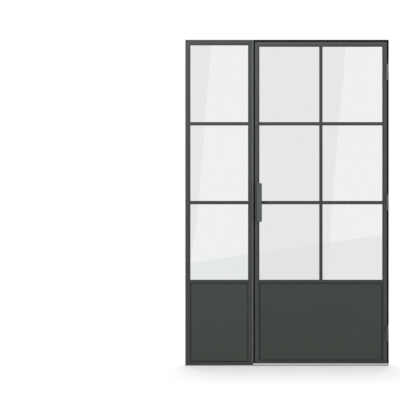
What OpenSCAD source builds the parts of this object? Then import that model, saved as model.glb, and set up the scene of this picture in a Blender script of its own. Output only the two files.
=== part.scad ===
// Steel framed glass door with a fixed sidelight, seen from the side it opens to.
// X runs to the right, Y to the back and Z up. The origin is at floor level on the
// sidelight's left outer face, at mid depth of the fixed frame.

/* [Whole set] */
// Width over the fixed frame
overall_w = 1312; // [1200:4:1500]
// Height over the fixed frame
overall_h = 2100; // [1950:5:2400]
// Depth of the fixed frame
frame_d = 50; // [48:1:60]
// Width of the fixed sidelight with its strike bar
side_w = 439; // [339:5:539]

/* [Leaf fit] */
// Gap between the strike bar and the leaf
strike_gap = 10; // [9:1:14]
// Distance from the leaf's hinge edge to the frame's outer edge
hinge_gap = 11; // [10:1:14]
// Distance from the leaf's top to the frame's top
head_gap = 13; // [11:1:18]
// Gap between the threshold and the leaf
floor_gap = 5; // [5:1:10]
// Depth of the leaf
leaf_d = 40; // [38:1:41]

/* [Hollow sections] */
// Wall of the hollow sections
wall = 2; // [1.5:0.5:3]
// Corner radius of the hollow sections
corner_r = 2; // [1:0.5:3]
// Width of the fin that the glass is seated against
fin_w = 8; // [7:1:12]
// Thickness of that fin
fin_t = 4; // [3:0.5:4]
// Distance that fins and glazing bars lie behind the frames' faces
fin_set = 2; // [1:0.5:3]
// Face of the leaf's stiles
leaf_face = 29; // [28:1:50]
// Face of the leaf's top rail
leaf_top_face = 31; // [28:1:50]
// Thickness of the flat under the leaf's bottom rebate
leaf_bottom_t = 4; // [3:1:8]
// Face of the sidelight's left stile
side_face = 33; // [28:1:50]
// Face of the sidelight's top rail
side_top_face = 35; // [28:1:50]
// Face of the sidelight's right stile
side_inner_face = 26; // [22:1:40]
// Face of the sidelight's bottom rail
side_bottom_face = 22; // [20:1:60]

/* [Glazing bars] */
// Face of the level bars
bar_face = 22; // [20:1:36]
// Face of the leaf's upright bar
upright_bar_face = 21; // [20:1:36]
// Thickness of the bars' webs
web_t = 4; // [3:0.5:4]
// Depth of the bars from face to back
bar_d = 25; // [25:1:30]
// Height of the lowest pane's lower edge
pane_low_z = 552; // [400:1:800]

/* [Panes and panels] */
// Thickness of the glass
glass_t = 6; // [5:0.5:6.5]
// Thickness of the lower panels at their edges
panel_t = 6; // [5:0.5:6.5]
// Height of the lower panels' raised field
panel_rise = 4; // [2:0.5:4]
// Width of the groove between that field and the rebate's edge
panel_groove = 5; // [4:1:12]
// Thickness of the glazing seals
seal_t = 2; // [1.5:0.5:2]
// Depth of the glazing beads
bead_d = 10; // [8:0.5:10]
// Wall of the glazing beads
bead_wall = 1.5; // [1:0.5:2]
// Space around each pane in its rebate
pane_clearance = 3; // [2:0.5:4]

/* [Fixed frame] */
// Thickness of the flat bar that the leaf closes beside
strike_bar_t = 8; // [6:1:10]
// Thickness of the head and hinge jamb angles
angle_t = 3; // [3:0.5:4]
// Width of the stops that the leaf closes against
stop_w = 16; // [14:1:18]
// Height of the threshold
threshold_h = 13; // [10:1:20]
// Height of the threshold's stop
threshold_stop_h = 10; // [10:1:16]
// Distance that the threshold comes out in front of the frame
threshold_out = 5; // [3:1:15]

/* [Hinges] */
// Distance of the hinge axis from the frame's outer edge
hinge_in = 8.5; // [8:0.5:9]
// Distance that the hinge axis stands in front of the leaf
hinge_out = 8; // [8:0.5:10]
// Diameter of the hinge barrels
barrel_d = 15; // [14:0.5:15]
// Height of one hinge
hinge_h = 104; // [80:2:120]
// Diameter of the hinge pins
pin_d = 9; // [7:0.5:9]
// Height of the lowest hinge's middle
hinge_low_z = 207; // [160:1:300]
// Distance from the top of the frame to the highest hinge's middle
hinge_top_drop = 207; // [160:1:300]

/* [Handles] */
// Length of each pull handle
handle_h = 250; // [180:10:400]
// Width of the handle's flat grip
handle_w = 32; // [28:1:40]
// Thickness of the handle's plate
handle_t = 5; // [4:0.5:6]
// Distance that the handle stands out from the leaf
handle_out = 40; // [35:1:50]
// Height of the handles' middle
handle_z = 1050; // [950:10:1150]

/* [Hidden] */
$fn = 48;
over = 1;
running_clearance = 0.05;

steel_colour = [0.30, 0.32, 0.31];
lip_colour = [0.36, 0.38, 0.36];
black_colour = [0.07, 0.07, 0.07];
glass_colour = [0.88, 0.91, 0.91, 0.35];
threshold_colour = [0.74, 0.74, 0.73];
washer_colour = [0.62, 0.60, 0.55];

// Planes of the depth, from the front face to the back
front_y = -frame_d / 2;
back_y = frame_d / 2;
leaf_back_y = front_y + leaf_d;
fin_front_y = front_y + fin_set;
fin_y = fin_front_y + fin_t;
glass_y = fin_y + seal_t;
back_seal_y = glass_y + glass_t;
bead_y = back_seal_y + seal_t;
bar_back_y = fin_front_y + bar_d;
stop_y = back_y - angle_t;

// Outer edges of the sidelight's sections and of the leaf
side_x1 = side_w - strike_bar_t;
leaf_x0 = side_w + strike_gap;
leaf_x1 = overall_w - hinge_gap;
leaf_z0 = threshold_h + floor_gap;
leaf_z1 = overall_h - head_gap;

// Widths of the hollow parts behind each face
leaf_tube = leaf_face - fin_w;
leaf_top_tube = leaf_top_face - fin_w;
leaf_bottom_face = leaf_bottom_t + fin_w;
side_tube = side_face - fin_w;
side_top_tube = side_top_face - fin_w;
side_inner_tube = side_inner_face - fin_w;
side_bottom_tube = side_bottom_face - fin_w;

// Rebate walls that the panes and panels stand between
side_in_x0 = side_tube;
side_in_x1 = side_x1 - side_inner_tube;
side_in_z0 = side_bottom_tube;
side_in_z1 = overall_h - side_top_tube;
leaf_in_x0 = leaf_x0 + leaf_tube;
leaf_in_x1 = leaf_x1 - leaf_tube;
leaf_in_z0 = leaf_z0 + leaf_bottom_t;
leaf_in_z1 = leaf_z1 - leaf_top_tube;

// Middles of the level bars, with panes of one height to a tenth of a millimetre
panes_h = leaf_z1 - leaf_top_face - pane_low_z - 2 * bar_face;
pane_h = round(panes_h / 3 * 10) / 10;
bar_z = [
    pane_low_z - bar_face / 2,
    pane_low_z + pane_h + bar_face / 2,
    pane_low_z + 2 * pane_h + 1.5 * bar_face
];
upright_x = (leaf_x0 + leaf_x1) / 2;

// Length of the blocks that the panes stand on
setting_block_l = 60;

// Frame edge seal and stop seal
edge_seal_t = 3;
edge_seal_lip = 2;
edge_seal_grip = 8;
stop_seal_w = 8;
stop_seal_d = 2;
stop_seal_r = 1;

// Fixing holes in the jambs and the head
fixing_r = 4.5;
fixing_y = 12;
fixing_z = [150, 750, overall_h - 750, overall_h - 150];
head_fixing_x = [side_w + 160, overall_w - 160];

// Hinge axis, in front of the gap between leaf and jamb
hinge_x = overall_w - hinge_in;
hinge_y = front_y - hinge_out;
washer_h = 2;
knuckle_h = (hinge_h - washer_h) / 2;
knuckle_end = 4;
knuckle_chamfer = 0.8;
wing_t = 4;
wing_in = 14;
hinge_z = [
    hinge_low_z,
    (hinge_low_z + overall_h - hinge_top_drop) / 2,
    overall_h - hinge_top_drop
];
hinge_notch = 2;

// Handles
handle_corner_r = 8;
handle_bend_r = 4;
front_handle_inset = 12;
back_handle_inset = 14;

// Block between two opposite corners
module block(low, high) {
    translate(low)
        cube(high - low);
}

// Prism over an outline in the XZ plane, between two depths
module face_prism(outline, y0, y1) {
    translate([0, y1, 0])
        rotate([90, 0, 0])
            linear_extrude(y1 - y0)
                polygon(outline);
}

// Hollow section with a fin: outer face on x = 0, front on y = 0
module section_shape(tube_w, depth) {
    difference() {
        square([tube_w, depth]);
        for (corner = [[0, 0], [0, depth - corner_r], [tube_w - corner_r, depth - corner_r]])
            translate(corner)
                square(corner_r);
    }
    for (centre = [[corner_r, corner_r], [corner_r, depth - corner_r],
                   [tube_w - corner_r, depth - corner_r]])
        translate(centre)
            circle(corner_r);
}

// Straight length of that section along Z, hollow from one height to another
module section_length(length, tube_w, depth, fin_from, fin_to, hollow_from, hollow_to) {
    difference() {
        union() {
            linear_extrude(length)
                section_shape(tube_w, depth);
            block([tube_w - wall, fin_set, fin_from], [tube_w + fin_w, fin_set + fin_t, fin_to]);
        }
        block([wall, wall, hollow_from], [tube_w - wall, depth - wall, hollow_to]);
    }
}

// Level bar of T section: its face between the fins and its web between the tubes
module level_bar(middle_z, face_x0, face_x1, web_x0, web_x1) {
    block([face_x0, fin_front_y, middle_z - bar_face / 2],
          [face_x1, fin_y, middle_z + bar_face / 2]);
    block([web_x0, fin_y, middle_z - web_t / 2], [web_x1, bar_back_y, middle_z + web_t / 2]);
}

// Heights of the rebate in each row, with row 0 for the panel
function row_z0(row, lowest) = row == 0 ? lowest : bar_z[row - 1] + web_t / 2;
function row_z1(row, highest) = row == 3 ? highest : bar_z[row] - web_t / 2;

// Rebates as [x0, z0, x1, z1]
function side_cell(row) = [side_in_x0, row_z0(row, side_in_z0), side_in_x1, row_z1(row, side_in_z1)];
function leaf_cell(row, column) = [
    column == 1 ? upright_x + web_t / 2 : leaf_in_x0,
    row_z0(row, leaf_in_z0),
    column == 0 ? upright_x - web_t / 2 : leaf_in_x1,
    row_z1(row, leaf_in_z1)
];
whole = 2;
side_cells = [for (row = [0:3]) side_cell(row)];
leaf_cells = [leaf_cell(0, whole), for (row = [1:3], column = [0, 1]) leaf_cell(row, column)];

// Flat sheet in a rebate
module sheet(cell, thickness) {
    block([cell[0] + pane_clearance, glass_y, cell[1] + pane_clearance],
          [cell[2] - pane_clearance, glass_y + thickness, cell[3] - pane_clearance]);
}

// Panel whose middle is pressed forward, with a groove along the rebate's edge
module panel(cell) {
    inset = fin_w + panel_groove;
    color(steel_colour) {
        sheet(cell, panel_t);
        block([cell[0] + inset, glass_y - panel_rise, cell[1] + inset],
              [cell[2] - inset, glass_y + over, cell[3] - inset]);
    }
}

// Rectangular ring along the walls of a rebate
module ring(cell, y0, y1) {
    difference() {
        block([cell[0], y0, cell[1]], [cell[2], y1, cell[3]]);
        block([cell[0] + fin_w, y0 - over, cell[1] + fin_w],
              [cell[2] - fin_w, y1 + over, cell[3] - fin_w]);
    }
}

// Glazing bead, a channel open to the rebate's wall: wall on x = 0, seal on y = 0
module bead_shape() {
    difference() {
        union() {
            square([fin_w, bead_d - bead_wall]);
            square([fin_w - bead_wall, bead_d]);
            translate([fin_w - bead_wall, bead_d - bead_wall])
                circle(bead_wall);
        }
        translate([-over, bead_wall])
            square([fin_w - bead_wall + over, bead_d - 2 * bead_wall]);
    }
}

// One length of a strip along Z, mitred at both ends; its section is the child
module mitred_length(length, strip_w) {
    intersection() {
        linear_extrude(length)
            children();
        face_prism([[0, 0], [strip_w, strip_w], [strip_w, length - strip_w], [0, length]],
                   -bead_d, bead_d + over);
    }
}

// Four such lengths around the inside of an outline [x0, z0, x1, z1]
module mitred_ring(outline, y, strip_w) {
    width = outline[2] - outline[0];
    height = outline[3] - outline[1];
    translate([outline[0], y, outline[1]])
        mitred_length(height, strip_w)
            children();
    translate([outline[2], y, outline[1]])
        mirror([1, 0, 0])
            mitred_length(height, strip_w)
                children();
    translate([outline[2], y, outline[1]])
        rotate([0, -90, 0])
            mitred_length(width, strip_w)
                children();
    translate([outline[0], y, outline[3]])
        rotate([0, 90, 0])
            mitred_length(width, strip_w)
                children();
}

module beads(cells) {
    color(steel_colour)
        for (cell = cells)
            mitred_ring(cell, bead_y, fin_w)
                bead_shape();
}

// Two blocks under each pane or panel, at the quarters of its width
module setting_blocks(cells) {
    color(black_colour)
        for (cell = cells, share = [1, 3]) {
            middle_x = cell[0] + share * (cell[2] - cell[0]) / 4;
            block([middle_x - setting_block_l / 2, glass_y, cell[1]],
                  [middle_x + setting_block_l / 2, back_seal_y, cell[1] + pane_clearance]);
        }
}

module seals(cells) {
    color(black_colour)
        for (cell = cells) {
            ring(cell, fin_y, glass_y);
            ring(cell, back_seal_y, bead_y);
        }
}

// Round fixing hole through a jamb, along X
module fixing_holes(x0, x1) {
    for (z = fixing_z)
        translate([x0 - over, fixing_y, z])
            rotate([0, 90, 0])
                cylinder(h = x1 - x0 + 2 * over, r = fixing_r);
}

module side_left_stile() {
    color(steel_colour)
        difference() {
            intersection() {
                translate([0, front_y, 0])
                    section_length(overall_h, side_tube, frame_d, side_bottom_face,
                                   overall_h, wall, overall_h + over);
                face_prism([[0, 0], [side_face, 0], [side_face, overall_h - side_top_face],
                            [0, overall_h]], front_y - over, back_y + over);
            }
            fixing_holes(0, side_tube);
        }
}

module side_top_rail() {
    color(steel_colour)
        intersection() {
            translate([0, front_y, overall_h])
                rotate([0, 90, 0])
                    section_length(side_x1, side_top_tube, frame_d, 0, side_in_x1,
                                   -over, side_x1 - wall);
            face_prism([[0, overall_h], [side_face, overall_h - side_top_face],
                        [side_x1, overall_h - side_top_face], [side_x1, overall_h]],
                       front_y - over, back_y + over);
        }
}

module side_right_stile() {
    color(steel_colour)
        translate([side_x1, front_y, 0])
            mirror([1, 0, 0])
                section_length(side_in_z1, side_inner_tube, frame_d, side_bottom_face,
                               overall_h - side_top_face, wall, side_in_z1 - wall);
}

module side_bottom_rail() {
    length = side_in_x1 - side_in_x0;
    color(steel_colour)
        translate([side_in_x1, front_y, 0])
            rotate([0, -90, 0])
                section_length(length, side_bottom_tube, frame_d, 0, length, wall, length - wall);
}

module side_bar(middle_z) {
    color(steel_colour)
        level_bar(middle_z, side_face, side_x1 - side_inner_face, side_in_x0, side_in_x1);
}

module side_upper_muntin() {
    side_bar(bar_z[2]);
}

module side_lower_muntin() {
    side_bar(bar_z[1]);
}

module side_mid_rail() {
    side_bar(bar_z[0]);
}

module glass(cell) {
    color(glass_colour)
        sheet(cell, glass_t);
}

// Flat bar between sidelight and leaf, a little proud of both, with an eased front edge
module strike_bar() {
    proud = 1;
    ease = 1.5;
    color(lip_colour)
        translate([side_x1, 0, 0])
            linear_extrude(overall_h)
                polygon([[0, front_y - proud], [strike_bar_t - ease, front_y - proud],
                         [strike_bar_t, front_y - proud + ease], [strike_bar_t, back_y],
                         [0, back_y]]);
}

module strike_stop() {
    color(steel_colour)
        block([side_w, stop_y, threshold_h],
              [side_w + stop_w, back_y, overall_h - angle_t - stop_w]);
}

// Web and stop flange of the head, mitred where it meets the hinge jamb
module head_frame() {
    reach = angle_t + stop_w;
    color(steel_colour)
        difference() {
            intersection() {
                union() {
                    block([side_w, front_y + edge_seal_t, overall_h - angle_t],
                          [overall_w, back_y, overall_h]);
                    block([side_w, stop_y, overall_h - reach],
                          [overall_w, back_y, overall_h]);
                }
                face_prism([[side_w, overall_h - reach], [overall_w - reach, overall_h - reach],
                            [overall_w, overall_h], [side_w, overall_h]],
                           front_y, back_y);
            }
            for (x = head_fixing_x)
                translate([x, fixing_y, overall_h - angle_t - over])
                    cylinder(h = angle_t + 2 * over, r = fixing_r);
        }
}

module hinge_jamb() {
    reach = angle_t + stop_w;
    color(steel_colour)
        difference() {
            intersection() {
                union() {
                    block([overall_w - angle_t, front_y + edge_seal_t, threshold_h],
                          [overall_w, back_y, overall_h]);
                    block([overall_w - reach, stop_y, threshold_h],
                          [overall_w, back_y, overall_h]);
                }
                face_prism([[overall_w, threshold_h], [overall_w, overall_h],
                            [overall_w - reach, overall_h - reach],
                            [overall_w - reach, threshold_h]],
                           front_y, back_y);
            }
            fixing_holes(overall_w - angle_t, overall_w);
        }
}

// Seal clipped on the front edge of the head and the hinge jamb, open at each hinge
module frame_edge_seal() {
    lip_x = overall_w - angle_t - edge_seal_lip;
    lip_z = overall_h - angle_t - edge_seal_lip;
    web_edge_y = front_y + edge_seal_t;
    color(black_colour) {
        block([side_w, front_y, lip_z], [overall_w, web_edge_y, overall_h]);
        block([side_w, web_edge_y, lip_z],
              [overall_w - angle_t, web_edge_y + edge_seal_grip, overall_h - angle_t]);
        difference() {
            union() {
                block([lip_x, front_y, threshold_h], [overall_w, web_edge_y, overall_h]);
                block([lip_x, web_edge_y, threshold_h],
                      [overall_w - angle_t, web_edge_y + edge_seal_grip, lip_z]);
            }
            for (z = hinge_z)
                block([lip_x - over, front_y - over, z - hinge_h / 2 - hinge_notch],
                      [overall_w + over, web_edge_y + edge_seal_grip + over,
                       z + hinge_h / 2 + hinge_notch]);
        }
    }
}

// Section of the stop seal: its back on y = 0, its rounded front towards the leaf
module stop_seal_shape() {
    translate([0, stop_seal_r - stop_seal_d])
        square([stop_seal_w, stop_seal_d - stop_seal_r]);
    translate([stop_seal_r, -stop_seal_d])
        square([stop_seal_w - 2 * stop_seal_r, stop_seal_d]);
    for (x = [stop_seal_r, stop_seal_w - stop_seal_r])
        translate([x, stop_seal_r - stop_seal_d])
            circle(stop_seal_r);
}

// Seal on all four stops, along their inner edges
module stop_seal() {
    outline = [
        side_w + stop_w - stop_seal_w,
        threshold_h + threshold_stop_h - stop_seal_w,
        overall_w - angle_t - stop_w + stop_seal_w,
        overall_h - angle_t - stop_w + stop_seal_w
    ];
    color(black_colour)
        mitred_ring(outline, stop_y, stop_seal_w)
            stop_seal_shape();
}

// Folded threshold sheet, open below, with a sloped front and a stop at its back
module threshold() {
    sheet_t = 2;
    lip_h = 3;
    slope = 8;
    nose_y = front_y - threshold_out;
    color(threshold_colour) {
        block([side_w + stop_w, stop_y, threshold_h],
              [overall_w - angle_t - stop_w, back_y, threshold_h + threshold_stop_h]);
        translate([side_w, 0, 0])
            rotate([90, 0, 90])
                linear_extrude(overall_w - side_w)
                    difference() {
                        polygon([[nose_y, 0], [nose_y, lip_h], [nose_y + slope, threshold_h],
                                 [back_y, threshold_h], [back_y, 0]]);
                        polygon([[nose_y + sheet_t, -over], [nose_y + sheet_t, lip_h],
                                 [nose_y + slope + sheet_t / 2, threshold_h - sheet_t],
                                 [back_y - sheet_t, threshold_h - sheet_t],
                                 [back_y - sheet_t, -over]]);
                    }
    }
}

// Barrel with eased ends, standing on z = 0
module barrel(height) {
    barrel_r = barrel_d / 2;
    cylinder(h = knuckle_chamfer, r1 = barrel_r - knuckle_chamfer, r2 = barrel_r);
    translate([0, 0, knuckle_chamfer])
        cylinder(h = height - 2 * knuckle_chamfer, r = barrel_r);
    translate([0, 0, height - knuckle_chamfer])
        cylinder(h = knuckle_chamfer, r1 = barrel_r, r2 = barrel_r - knuckle_chamfer);
}

module at_hinges() {
    for (z = hinge_z)
        translate([hinge_x, hinge_y, z - hinge_h / 2])
            children();
}

// Fixed halves: a barrel with a blind hole and a wing on the jamb's front edge
module hinge_lower_knuckles() {
    wing_back = hinge_out + edge_seal_t;
    color(steel_colour)
        at_hinges()
            difference() {
                union() {
                    barrel(knuckle_h);
                    block([hinge_in - angle_t, 0, knuckle_chamfer],
                          [hinge_in, wing_back, knuckle_h - knuckle_chamfer]);
                }
                translate([0, 0, knuckle_end])
                    cylinder(h = knuckle_h, r = pin_d / 2);
            }
}

module hinge_pins() {
    color(washer_colour)
        at_hinges()
            translate([0, 0, knuckle_end])
                cylinder(h = hinge_h - 2 * knuckle_end, r = pin_d / 2);
}

module hinge_washers() {
    color(washer_colour)
        at_hinges()
            translate([0, 0, knuckle_h])
                difference() {
                    cylinder(h = washer_h, r = barrel_d / 2 - knuckle_chamfer);
                    translate([0, 0, -over])
                        cylinder(h = washer_h + 2 * over, r = pin_d / 2 + running_clearance);
                }
}

// Leaf halves: a barrel that turns on the pin and a wing on the stile's face
module hinge_upper_knuckles() {
    wing_x = leaf_x1 - hinge_x;
    color(steel_colour)
        at_hinges()
            translate([0, 0, knuckle_h + washer_h])
                difference() {
                    union() {
                        barrel(knuckle_h);
                        block([wing_x - wing_in, hinge_out - wing_t, knuckle_chamfer],
                              [-angle_t, hinge_out, knuckle_h - knuckle_chamfer]);
                    }
                    translate([0, 0, -over])
                        cylinder(h = knuckle_h - knuckle_end + 2 * over,
                                 r = pin_d / 2 + running_clearance);
                }
}

// Upright of the leaf: closed at its foot, mitred at its head
module leaf_stile() {
    height = leaf_z1 - leaf_z0;
    intersection() {
        section_length(height, leaf_tube, leaf_d, leaf_bottom_face, height, wall, height + over);
        face_prism([[0, 0], [leaf_face, 0], [leaf_face, height - leaf_top_face], [0, height]],
                   -over, leaf_d + over);
    }
}

module leaf_lock_stile() {
    color(steel_colour)
        translate([leaf_x0, front_y, leaf_z0])
            leaf_stile();
}

module leaf_hinge_stile() {
    color(steel_colour)
        translate([leaf_x1, front_y, leaf_z0])
            mirror([1, 0, 0])
                leaf_stile();
}

module leaf_top_rail() {
    length = leaf_x1 - leaf_x0;
    color(steel_colour)
        translate([leaf_x0, front_y, leaf_z1])
            intersection() {
                rotate([0, 90, 0])
                    section_length(length, leaf_top_tube, leaf_d, 0, length, -over, length + over);
                face_prism([[0, 0], [leaf_face, -leaf_top_face],
                            [length - leaf_face, -leaf_top_face], [length, 0]],
                           -over, leaf_d + over);
            }
}

// Angle under the lower panel, between the stiles
module leaf_bottom_rail() {
    color(steel_colour) {
        block([leaf_in_x0, front_y, leaf_z0], [leaf_in_x1, leaf_back_y, leaf_in_z0]);
        block([leaf_in_x0, fin_front_y, leaf_z0], [leaf_in_x1, fin_y, leaf_in_z0 + fin_w]);
    }
}

module leaf_mid_rail() {
    color(steel_colour)
        level_bar(bar_z[0], leaf_x0 + leaf_face, leaf_x1 - leaf_face, leaf_in_x0, leaf_in_x1);
}

module leaf_upright_muntin() {
    color(steel_colour) {
        block([upright_x - upright_bar_face / 2, fin_front_y, pane_low_z],
              [upright_x + upright_bar_face / 2, fin_y, leaf_z1 - leaf_top_face]);
        block([upright_x - web_t / 2, fin_y, bar_z[0] + web_t / 2],
              [upright_x + web_t / 2, bar_back_y, leaf_in_z1]);
    }
}

// Two lengths of level bar, one on each side of the upright bar
module leaf_level_muntins(middle_z) {
    color(steel_colour) {
        level_bar(middle_z, leaf_x0 + leaf_face, upright_x - upright_bar_face / 2,
                  leaf_in_x0, upright_x - web_t / 2);
        level_bar(middle_z, upright_x + upright_bar_face / 2, leaf_x1 - leaf_face,
                  upright_x + web_t / 2, leaf_in_x1);
    }
}

module leaf_upper_muntins() {
    leaf_level_muntins(bar_z[2]);
}

module leaf_lower_muntins() {
    leaf_level_muntins(bar_z[1]);
}

// Bent flat handle: leg on y = 0 at its left edge, grip towards -Y
module pull_handle() {
    intersection() {
        translate([0, 0, -handle_h / 2])
            linear_extrude(handle_h) {
                difference() {
                    translate([0, -handle_out])
                        square([handle_w, handle_out]);
                    translate([0, -handle_out])
                        square(handle_bend_r);
                    translate([handle_t, handle_t - handle_out])
                        square([handle_w, handle_out]);
                }
                translate([handle_bend_r, handle_bend_r - handle_out])
                    circle(handle_bend_r);
            }
        translate([0, over, 0])
            rotate([90, 0, 0])
                linear_extrude(handle_out + 2 * over)
                    handle_outline();
    }
}

module handle_outline() {
    straight_w = handle_w - handle_corner_r;
    translate([0, -handle_h / 2])
        square([straight_w, handle_h]);
    translate([0, handle_corner_r - handle_h / 2])
        square([handle_w, handle_h - 2 * handle_corner_r]);
    for (side = [-1, 1])
        translate([straight_w, side * (handle_h / 2 - handle_corner_r)])
            circle(handle_corner_r);
}

module front_pull_handle() {
    color(steel_colour)
        translate([leaf_x0 + front_handle_inset, front_y, handle_z])
            pull_handle();
}

module back_pull_handle() {
    color(steel_colour)
        translate([leaf_x0 + back_handle_inset, leaf_back_y, handle_z])
            mirror([0, 1, 0])
                pull_handle();
}

side_left_stile();
side_top_rail();
side_right_stile();
side_bottom_rail();
side_upper_muntin();
side_lower_muntin();
side_mid_rail();
glass(side_cell(3));  // side_top_glass
glass(side_cell(2));  // side_middle_glass
glass(side_cell(1));  // side_bottom_glass
panel(side_cell(0));  // side_panel
beads(side_cells);  // side_glazing_beads
seals(side_cells);  // side_glazing_seals
setting_blocks(side_cells);  // side_setting_blocks
strike_bar();
strike_stop();
head_frame();
hinge_jamb();
frame_edge_seal();
stop_seal();
threshold();
hinge_lower_knuckles();
hinge_pins();
hinge_washers();
leaf_lock_stile();
leaf_hinge_stile();
leaf_top_rail();
leaf_bottom_rail();
leaf_mid_rail();
leaf_upright_muntin();
leaf_upper_muntins();
leaf_lower_muntins();
glass(leaf_cell(3, 0));  // leaf_top_left_glass
glass(leaf_cell(3, 1));  // leaf_top_right_glass
glass(leaf_cell(2, 0));  // leaf_middle_left_glass
glass(leaf_cell(2, 1));  // leaf_middle_right_glass
glass(leaf_cell(1, 0));  // leaf_bottom_left_glass
glass(leaf_cell(1, 1));  // leaf_bottom_right_glass
panel(leaf_cell(0, whole));  // leaf_panel
beads(leaf_cells);  // leaf_glazing_beads
seals(leaf_cells);  // leaf_glazing_seals
setting_blocks(leaf_cells);  // leaf_setting_blocks
front_pull_handle();
back_pull_handle();
hinge_upper_knuckles();
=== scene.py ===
# Steel framed glass door with a fixed sidelight, dressed for a studio picture.
# Metres, in the model's own frame: X to the right, Y to the back, Z up.
import math

import bmesh
import bpy
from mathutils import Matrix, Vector


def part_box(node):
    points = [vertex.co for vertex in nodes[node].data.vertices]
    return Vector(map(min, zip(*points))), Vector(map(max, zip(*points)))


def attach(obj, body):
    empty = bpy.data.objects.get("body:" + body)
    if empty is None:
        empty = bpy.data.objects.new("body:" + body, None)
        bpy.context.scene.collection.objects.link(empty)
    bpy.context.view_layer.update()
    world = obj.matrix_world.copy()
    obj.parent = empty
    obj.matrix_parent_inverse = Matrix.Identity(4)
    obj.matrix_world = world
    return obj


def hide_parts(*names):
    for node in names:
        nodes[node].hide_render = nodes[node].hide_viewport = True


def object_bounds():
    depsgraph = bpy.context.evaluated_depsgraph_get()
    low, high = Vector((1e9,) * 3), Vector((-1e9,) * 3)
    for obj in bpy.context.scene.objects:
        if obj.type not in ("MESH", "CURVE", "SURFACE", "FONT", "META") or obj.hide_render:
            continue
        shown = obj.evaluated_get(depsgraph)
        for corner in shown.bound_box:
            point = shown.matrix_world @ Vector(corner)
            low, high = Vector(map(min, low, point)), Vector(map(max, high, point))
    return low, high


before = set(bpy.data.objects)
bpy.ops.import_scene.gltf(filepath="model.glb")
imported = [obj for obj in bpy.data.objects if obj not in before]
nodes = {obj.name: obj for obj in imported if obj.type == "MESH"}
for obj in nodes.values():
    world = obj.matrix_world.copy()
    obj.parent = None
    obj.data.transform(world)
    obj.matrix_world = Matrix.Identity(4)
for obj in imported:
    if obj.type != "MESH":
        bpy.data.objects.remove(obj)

scene = bpy.context.scene
cad_low, cad_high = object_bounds()

# Camera
# It stands far off in front of the set and looks straight at it with a long lens,
# so the frame's sides don't show and all upright lines stay upright.
camera_distance = 16.0
picture_width = 2.5808
camera_x = 0.0947
camera_z = 1.0665
front_face_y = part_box("side_left_stile")[0].y


def placed(name, data):
    """New object in the scene for a mesh, a lamp or the camera."""
    obj = bpy.data.objects.new(name, data)
    scene.collection.objects.link(obj)
    return obj


camera_data = bpy.data.cameras.new("camera")
camera_data.sensor_width = 36.0
camera_data.lens = camera_data.sensor_width * camera_distance / picture_width
camera_data.clip_start = 0.1
camera_data.clip_end = 200.0
camera = placed("camera", camera_data)
camera.location = (camera_x, front_face_y - camera_distance, camera_z)
camera.rotation_euler = (math.radians(90.0), 0.0, 0.0)
scene.camera = camera
scene.view_settings.view_transform = "Standard"

# World and floor
# A white studio: the background and the floor are plain white where they are seen directly,
# mirrored or through the panes, and the floor in front keeps the door's own soft shadow.
floor_reach = 30.0
floor_white_share = 0.40
floor_glow = 0.24
floor_bounce_share = 0.146


def step(tree, kind, sources=(), **settings):
    """Node with its settings and its inputs, each a value or another node's output."""
    node = tree.nodes.new(kind)
    for key, value in settings.items():
        setattr(node, key, value)
    for key, value in dict(sources).items():
        if isinstance(value, bpy.types.NodeSocket):
            tree.links.new(value, node.inputs[key])
        else:
            node.inputs[key].default_value = value
    return node


def math_node(tree, operation, first, second=0.0):
    """Result of a sum on one or two values."""
    return step(tree, "ShaderNodeMath", {0: first, 1: second}, operation=operation).outputs[0]


def background_ray(tree, path):
    """1 on rays that show the background, mirrored or through glass, with no soft bounce."""
    clear_path = math_node(tree, "LESS_THAN", path.outputs["Diffuse Depth"], 0.5)
    bent_ray = math_node(tree, "MAXIMUM", path.outputs["Is Glossy Ray"],
                         path.outputs["Is Transmission Ray"])
    return math_node(tree, "MULTIPLY", clear_path, bent_ray)


def new_material(name):
    """Material that nodes paint, and its tree."""
    material = bpy.data.materials.new(name)
    material.use_nodes = True
    return material, material.node_tree


def flat_mesh(name, corners):
    """One flat polygon through the corners."""
    mesh = bpy.data.meshes.new(name)
    mesh.from_pydata(corners, [], [tuple(range(len(corners)))])
    return placed(name, mesh)


world = bpy.data.worlds.new("studio")
scene.world = world
world.use_nodes = True
world_tree = world.node_tree
world_tree.nodes.clear()
world_path = step(world_tree, "ShaderNodeLightPath")
world_seen = math_node(world_tree, "MAXIMUM", world_path.outputs["Is Camera Ray"],
                       background_ray(world_tree, world_path))
world_dim = step(world_tree, "ShaderNodeBackground",
                 {"Color": (0.97, 0.99, 1.0, 1.0), "Strength": 0.38})
world_white = step(world_tree, "ShaderNodeBackground",
                   {"Color": (1.0, 1.0, 1.0, 1.0), "Strength": 1.0})
world_mix = step(world_tree, "ShaderNodeMixShader",
                 {0: world_seen, 1: world_dim.outputs[0], 2: world_white.outputs[0]})
step(world_tree, "ShaderNodeOutputWorld", {"Surface": world_mix.outputs[0]})

floor = flat_mesh("floor", [
    (-floor_reach, -floor_reach, 0.0), (floor_reach, -floor_reach, 0.0),
    (floor_reach, floor_reach, 0.0), (-floor_reach, floor_reach, 0.0),
])
floor_paint, floor_tree = new_material("white_floor")
floor_tree.nodes.clear()
floor_path = step(floor_tree, "ShaderNodeLightPath")
floor_white = step(floor_tree, "ShaderNodeBsdfDiffuse",
                   {"Color": (*[floor_white_share] * 3, 1.0)})
floor_lift = step(floor_tree, "ShaderNodeEmission", {"Strength": floor_glow})
floor_seen = step(floor_tree, "ShaderNodeAddShader",
                  {0: floor_white.outputs[0], 1: floor_lift.outputs[0]})
floor_bounce = step(floor_tree, "ShaderNodeBsdfDiffuse",
                    {"Color": (*[floor_bounce_share] * 3, 1.0)})
floor_direct = step(floor_tree, "ShaderNodeMixShader", {
    0: floor_path.outputs["Is Camera Ray"], 1: floor_bounce.outputs[0],
    2: floor_seen.outputs[0]})
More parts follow.
